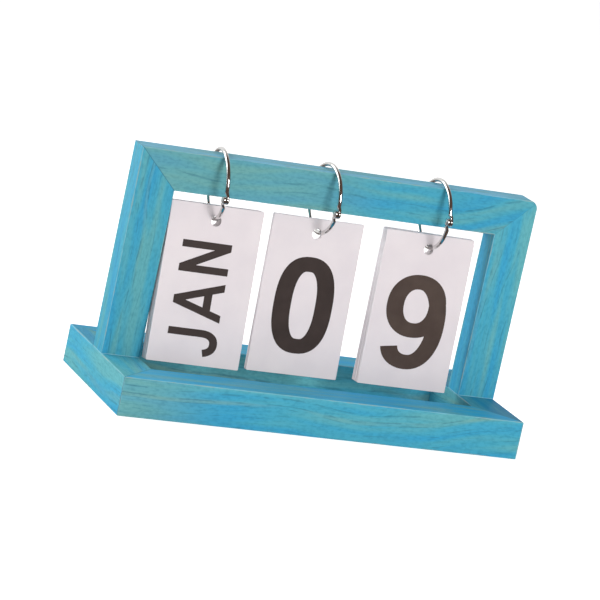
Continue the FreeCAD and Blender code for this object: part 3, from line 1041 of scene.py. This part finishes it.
@dataclass(frozen=True)
class Pen:
    """A broad pen that makes upright and level strokes of different weights.

    All its sizes are millimetres. Points nearer than same_place count as one.
    """

    height: float
    upright: float
    level: float
    same_place: float = 0.05

    def outline(self, points: Sequence[Pair], i: int) -> tuple[Pair, Pair]:
        """Finds the two sides of a stroke at one of its points.

        Args:
            points: The stroke's points, in millimetres.
            i: The number of the point.

        Returns:
            The place on the left of the stroke, and the one on its right.
        """
        before = points[max(i - 1, 0)]
        after = points[min(i + 1, len(points) - 1)]
        if i in (0, len(points) - 1) and points[0] == points[-1]:
            before, after = points[-2], points[1]
        across, rise = after[0] - before[0], after[1] - before[1]
        length = math.hypot(across, rise)
        nx, ny = -rise / length, across / length
        half_x, half_y = self.upright / 2, self.level / 2
        reach = math.hypot(half_x * nx, half_y * ny)
        shift = (half_x**2 * nx / reach, half_y**2 * ny / reach)
        x, y = points[i]
        return (x + shift[0], y + shift[1]), (x - shift[0], y - shift[1])

    def ribbons(self, character: Character) -> tuple[list[list[Pair]], float]:
        """Draws a character.

        Args:
            character: What is drawn.

        Returns:
            Convex patches that cover the strokes, in millimetres from the lower left corner of
            the character's box, and the box's width.
        """
        width = character.width * self.height
        inner = (width - self.upright, self.height - self.level)
        patches = []
        for stroke in character.strokes:
            shares = [p for item in stroke for p in (item.points() if isinstance(item, Arc) else [item])]
            is_straight = all(not isinstance(item, Arc) for item in stroke)
            points = [(self.upright / 2 + u * inner[0], self.level / 2 + v * inner[1]) for u, v in shares]
            near = self.same_place
            points = [p for k, p in enumerate(points) if k == 0 or math.dist(p, points[k - 1]) > near]
            if shares[0] != shares[-1] and math.dist(points[0], points[-1]) < near:
                points[-1] = points[0]
            if points[0] != points[-1]:
                points = self.run_out(points, shares, 1.0 if is_straight else 0.5)
            sides = [self.outline(points, k) for k in range(len(points))]
            for (left, right), (next_left, next_right) in zip(sides, sides[1:]):
                corners = [left, next_left, next_right, right]
                patch = [corners[k] for k in convex_hull_2d(corners)]
                if is_straight:
                    patch = self.clip(patch, width)
                if len(patch) > 2:
                    patches.append(patch)
        return patches, width

    def run_out(self, points: list[Pair], shares: Sequence[Pair], share: float) -> list[Pair]:
        """Lengthens a stroke where it ends on its box's border, so that it reaches the border.

        Args:
            points: The stroke's points in millimetres.
            shares: The same points in shares of the box.
            share: How much of the pen's breadth is added.

        Returns:
            The lengthened stroke.
        """
        made = list(points)
        for end, inside, at in ((0, 1, shares[0]), (-1, -2, shares[-1])):
            x, y = points[end]
            dx, dy = x - points[inside][0], y - points[inside][1]
            facing = at[0] if abs(dx) > abs(dy) else at[1]
            if facing not in (0, 1):
                continue
            length = math.hypot(dx, dy)
            extra = share * math.hypot(self.upright * dx, self.level * dy) / length
            made[end] = (x + dx / length * extra, y + dy / length * extra)
        return made

    def clip(self, patch: list[Pair], width: float) -> list[Pair]:
        """Cuts a patch off at the character's box.

        Args:
            patch: The patch's corners.
            width: The box's width.

        Returns:
            The corners of what is left, or nothing.
        """
        for axis, limit, sign in ((0, 0.0, 1), (0, width, -1), (1, 0.0, 1), (1, self.height, -1)):
            kept = []
            for k, here in enumerate(patch):
                there = patch[(k + 1) % len(patch)]
                a, b = sign * (here[axis] - limit), sign * (there[axis] - limit)
                if a >= 0:
                    kept.append(here)
                if a * b < 0:
                    share = a / (a - b)
                    kept.append(tuple(p + (q - p) * share for p, q in zip(here, there)))
            patch = kept
        return patch


@dataclass(frozen=True)
class CardFace:
    """The front of a packed card: the middle of its hole, and the ways right, up and out."""

    hole: Vector
    right: Vector
    up: Vector
    out: Vector

    @classmethod
    def of(cls, node: str, hole_margin: float) -> "CardFace":
        """Finds a card's face from its mesh.

        Args:
            node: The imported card.
            hole_margin: Millimetres from the card's top edge to its hole's middle.

        Returns:
            The face.
        """
        mesh = frame["nodes"][node].data
        # the front is what faces the reader, and the steepest long edge is a side of the card
        front = [polygon for polygon in mesh.polygons if polygon.normal.y < -0.9]
        out = sum((polygon.normal * polygon.area for polygon in front), Vector()).normalized()
        corners = [mesh.vertices[i].co for polygon in front for i in polygon.vertices]
        longest = max(
            (mesh.vertices[b].co - mesh.vertices[a].co for a, b in (edge.vertices for edge in mesh.edges)),
            key=lambda span: abs(span.z) - 3 * abs(span.x),
        )
        up = (longest - out * longest.dot(out)).normalized()
        up = up if up.z > 0 else -up
        right = up.cross(out)
        across = [corner.dot(right) for corner in corners]
        rise = max(corner.dot(up) for corner in corners)
        depth = corners[0].dot(out)
        middle = (min(across) + max(across)) / 2
        hole = right * middle + up * (rise - hole_margin * MM) + out * depth
        return cls(hole, right, up, out)

    def point(self, across: float, rise: float, lift: float) -> Vector:
        """A point over the card, in millimetres from the hole's middle."""
        return self.hole + (self.right * across + self.up * rise + self.out * lift) * MM


@dataclass
class CardPrint:
    """The print on one stack's cards.

    The middle is the print's, in millimetres from the hole. The gap between letters is a share of
    their height.
    """

    stack: str
    pen: Pen
    middle: Pair
    reads_up: bool
    hole_margin: float = 7.1
    letter_gap: float = 0.157
    ink_height: float = 0.06
    flat_angle: float = 0.5

    def text_mesh(self, name: str, text: str, face: CardFace) -> bpy.types.Mesh:
        """Makes the print of one card.

        Args:
            name: The mesh's name.
            text: What is printed.
            face: The card's face.

        Returns:
            The mesh.
        """
        patches: list[list[Pair]] = []
        reach = 0.0
        for letter in text:
            drawn, width = self.pen.ribbons(CHARACTERS[letter])
            patches += [[(x + reach, y) for x, y in patch] for patch in drawn]
            reach += width + self.letter_gap * self.pen.height
        reach -= self.letter_gap * self.pen.height
        points = [Vector(point) for patch in patches for point in patch]
        faces = []
        count = 0
        for patch in patches:
            faces.append(list(range(count, count + len(patch))))
            count += len(patch)
        flat, _, triangles, _, _, sources = delaunay_2d_cdt(points, [], faces, 0, 1e-4)
        bm = bmesh.new()
        corners = []
        for x, y in flat:
            x, y = x - reach / 2, y - self.pen.height / 2
            across, rise = (-y, x) if self.reads_up else (x, y)
            corners.append(bm.verts.new(face.point(self.middle[0] + across, self.middle[1] + rise, 0)))
        for triangle, source in zip(triangles, sources):
            if source:
                bm.faces.new([corners[i] for i in triangle])
        loose = [vert for vert in bm.verts if not vert.link_faces]
        bmesh.ops.delete(bm, geom=loose, context="VERTS")
        for polygon in bm.faces:
            polygon.normal_update()
            if polygon.normal.dot(face.out) < 0:
                polygon.normal_flip()
        flat_angle = math.radians(self.flat_angle)
        bmesh.ops.dissolve_limit(bm, angle_limit=flat_angle, verts=bm.verts, edges=bm.edges)
        raised = bmesh.ops.extrude_face_region(bm, geom=bm.faces[:])
        lifted = [item for item in raised["geom"] if isinstance(item, bmesh.types.BMVert)]
        bmesh.ops.translate(bm, verts=lifted, vec=face.out * self.ink_height * MM)
        bmesh.ops.recalc_face_normals(bm, faces=bm.faces)
        mesh = bpy.data.meshes.new(name)
        bm.to_mesh(mesh)
        bm.free()
        return mesh

    def build(self, names: Iterable[str], ink: Material) -> None:
        """Prints every card of the stack.

        Args:
            names: The last words of the cards' names.
            ink: The print's material.
        """
        for name in names:
            node = f"{self.stack}_card_{name}"
            face = CardFace.of(node, self.hole_margin)
            label = f"{self.stack}_print_{name}"
            made = link_object(label, self.text_mesh(label, name.upper(), face), ink)
            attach(made, node)
            log.info("printed %s", label)


@dataclass
class Cards:
    """The three stacks of cards and what is printed on them."""

    board: PrintedBoard = field(default_factory=PrintedBoard)
    ink: PrintInk = field(default_factory=PrintInk)
    # painted sheen: the units' print gets a lighter, browner copy of the black ink for its sheen
    sheen_lit_ink: PrintInk = PrintInk("brown_black_ink", "#4a3b35", "#52433c")
    months: CardPrint = field(
        default_factory=lambda: CardPrint("month", Pen(24.15, 3.4, 3.9), (-2.3, -36.25), True)
    )
    tens: CardPrint = field(default_factory=lambda: CardPrint("tens", Pen(46, 8.7, 7), (-0.5, -34), False))
    units: CardPrint = field(default_factory=lambda: CardPrint("units", Pen(45.7, 8.7, 7), (0, -35.3), False))

    def build(self) -> None:
        """Dresses the cards and prints them."""
        board = self.board.material()
        black, brown = self.ink.material(), self.sheen_lit_ink.material()
        # the units' ink carries painted sheen
        for prints, ink in ((self.months, black), (self.tens, black), (self.units, brown)):
            start = f"{prints.stack}_card_"
            names = [node.removeprefix(start) for node in frame["nodes"] if node.startswith(start)]
            for name in names:
                dress_node(start + name, board)
            prints.build(names, ink)


# The studio


@dataclass(frozen=True)
class Lamp:
    """A square soft box: its azimuth and elevation in degrees, side in metres and power in watts."""

    name: str
    azimuth: float
    elevation: float
    size: float
    power: float


@dataclass
class Studio:
    """A white sweep, soft lamps and the camera.

    Places are metres and angles degrees. An azimuth of 0 looks along +Y, and a positive one
    stands to the right of that.
    """

    focal_length: float = 210.13
    sensor: float = 36
    azimuth: float = -22.98
    elevation: float = 12.08
    roll: float = 12.257
    target: Triple = (-0.0065, 0, 0.05347)
    distance: float = 1.6329
    clip_end: float = 100
    floor_reach: float = 6
    floor_glow: float = 0.62
    floor_colour: str = "#f2f2f2"
    floor_room: Pair = (0.05, 0.6)
    sky_strength: float = 0.42
    sky_room: Pair = (0.2, 0.85)
    room_colour: str = "#5b4a42"
    lamps: tuple[Lamp, ...] = (Lamp("key", 12, 19, 0.35, 5.2), Lamp("window", -120, 22, 0.9, 9))

    def away(self, azimuth: float, elevation: float) -> Vector:
        """The way from the object to something at an azimuth and elevation."""
        a, e = math.radians(azimuth), math.radians(elevation)
        return Vector((math.sin(a) * math.cos(e), -math.cos(a) * math.cos(e), math.sin(e)))

    def add_camera(self) -> None:
        """Sets the camera where the photograph was taken."""
        data = bpy.data.cameras.new("camera")
        data.lens = self.focal_length
        data.sensor_width = self.sensor
        data.clip_end = self.clip_end
        back = self.away(self.azimuth, self.elevation)
        a, turn = math.radians(self.azimuth), math.radians(self.roll)
        level = Vector((math.cos(a), math.sin(a), 0))
        upright = back.cross(level)
        right = level * math.cos(turn) + upright * math.sin(turn)
        up = upright * math.cos(turn) - level * math.sin(turn)
        place = Vector(self.target) + back * self.distance
        camera = bpy.data.objects.new("camera", data)
        camera.matrix_world = Matrix.Translation(place) @ Matrix((right, up, back)).transposed().to_4x4()
        bpy.context.scene.collection.objects.link(camera)
        bpy.context.scene.camera = camera

    def add_lamp(self, lamp: Lamp) -> None:
        """Adds a soft box that looks at the object from a metre away.

        Args:
            lamp: The soft box.
        """
        data = bpy.data.lights.new(lamp.name, "AREA")
        data.size = lamp.size
        data.energy = lamp.power
        way = self.away(lamp.azimuth, lamp.elevation)
        made = bpy.data.objects.new(lamp.name, data)
        made.rotation_euler = way.to_track_quat("Z", "Y").to_euler()
        made.location = Vector(self.target) + way
        bpy.context.scene.collection.objects.link(made)

    def add_floor(self) -> None:
        """Lays the white floor, which keeps the object's shadow."""
        bm = bmesh.new()
        bmesh.ops.create_grid(bm, x_segments=1, y_segments=1, size=self.floor_reach)
        mesh = bpy.data.meshes.new("floor")
        bm.to_mesh(mesh)
        bm.free()
        material, shader = new_material("white_sweep_paper")
        tree = material.node_tree
        base = linear(self.floor_colour)
        feed(shader, {"Base Color": base, "Roughness": 0.9, "Specular IOR Level": 0.1})
        lit = shader.outputs[0]
        ray = add_node(tree, "LightPath").node.outputs
        glow = add_node(tree, "Emission", {"Color": WHITE, "Strength": self.floor_glow})
        both = add_node(tree, "AddShader", (lit, glow))
        seen = add_node(tree, "MixShader", (ray["Is Camera Ray"], lit, both))
        place = add_node(tree, "TexCoord", output="Object")
        room = self.mirrored_room(tree, place, self.floor_room)
        mirrored = add_node(tree, "Emission", {"Color": room, "Strength": 1})
        whole = add_node(tree, "MixShader", (ray["Is Glossy Ray"], seen, mirrored))
        feed(tree.nodes["Material Output"], {"Surface": whole})
        floor = link_object("floor", mesh, material)

    def add_sky(self) -> None:
        """Lights the scene evenly, and shows white to the camera and in the metal."""
        world = bpy.data.worlds.new("studio")
        bpy.context.scene.world = world
        world.use_nodes = True
        tree = world.node_tree
        ray = add_node(tree, "LightPath").node.outputs
        rays = (ray["Is Camera Ray"], ray["Is Transmission Ray"])
        seen = add_node(tree, "Math", rays, operation="MAXIMUM")
        soft = tree.nodes["Background"]
        feed(soft, {"Color": WHITE, "Strength": self.sky_strength})
        white = add_node(tree, "Background", {"Color": WHITE, "Strength": 1})
        plain = add_node(tree, "MixShader", (seen, soft.outputs[0], white))
        place = add_node(tree, "TexCoord", output="Generated")
        room = self.mirrored_room(tree, place, self.sky_room)
        mirrored = add_node(tree, "Background", {"Color": room, "Strength": 1})
        whole = add_node(tree, "MixShader", (ray["Is Glossy Ray"], plain, mirrored))
        feed(tree.nodes["World Output"], {"Surface": whole})

    def mirrored_room(self, tree: Tree, place: Socket, depths: Pair) -> Socket:
        """Colours what the metal mirrors: a dim brown room in front, the white sweep behind.

        Args:
            tree: The node tree.
            place: The place whose depth counts.
            depths: The depth at which the room ends, and the one at which the sweep is white.

        Returns:
            The colour.
        """
        depth = add_node(tree, "SeparateXYZ", (place,), "Y")
        share = add_node(tree, "MapRange", (depth, *depths))
        return add_node(tree, "ValToRGB", (share,), stops=[(0, linear(self.room_colour)), (1, WHITE)])

    def build(self) -> None:
        """Sets up the whole studio."""
        self.add_camera()
        self.add_sky()
        self.add_floor()
        for lamp in self.lamps:
            self.add_lamp(lamp)
        bpy.context.scene.view_settings.view_transform = "Standard"
        log.info("set up the studio")


def main() -> None:
    """Builds the calendar's looks, sub-assembly by sub-assembly."""
    logging.basicConfig(level=logging.INFO, format="%(name)s: %(message)s")
    Studio().build()
    Stand().dress()
    wire = ChromePlate().material()
    riveted = ChromePlate("riveted_chrome", "#e4e0dc", (0.3, 0.45), (0.15, 0.2)).material()
    for stack in ("month", "tens", "units"):
        BookRing(stack).build(wire, riveted)
    Cards().build()


if __name__ == "__main__":
    main()
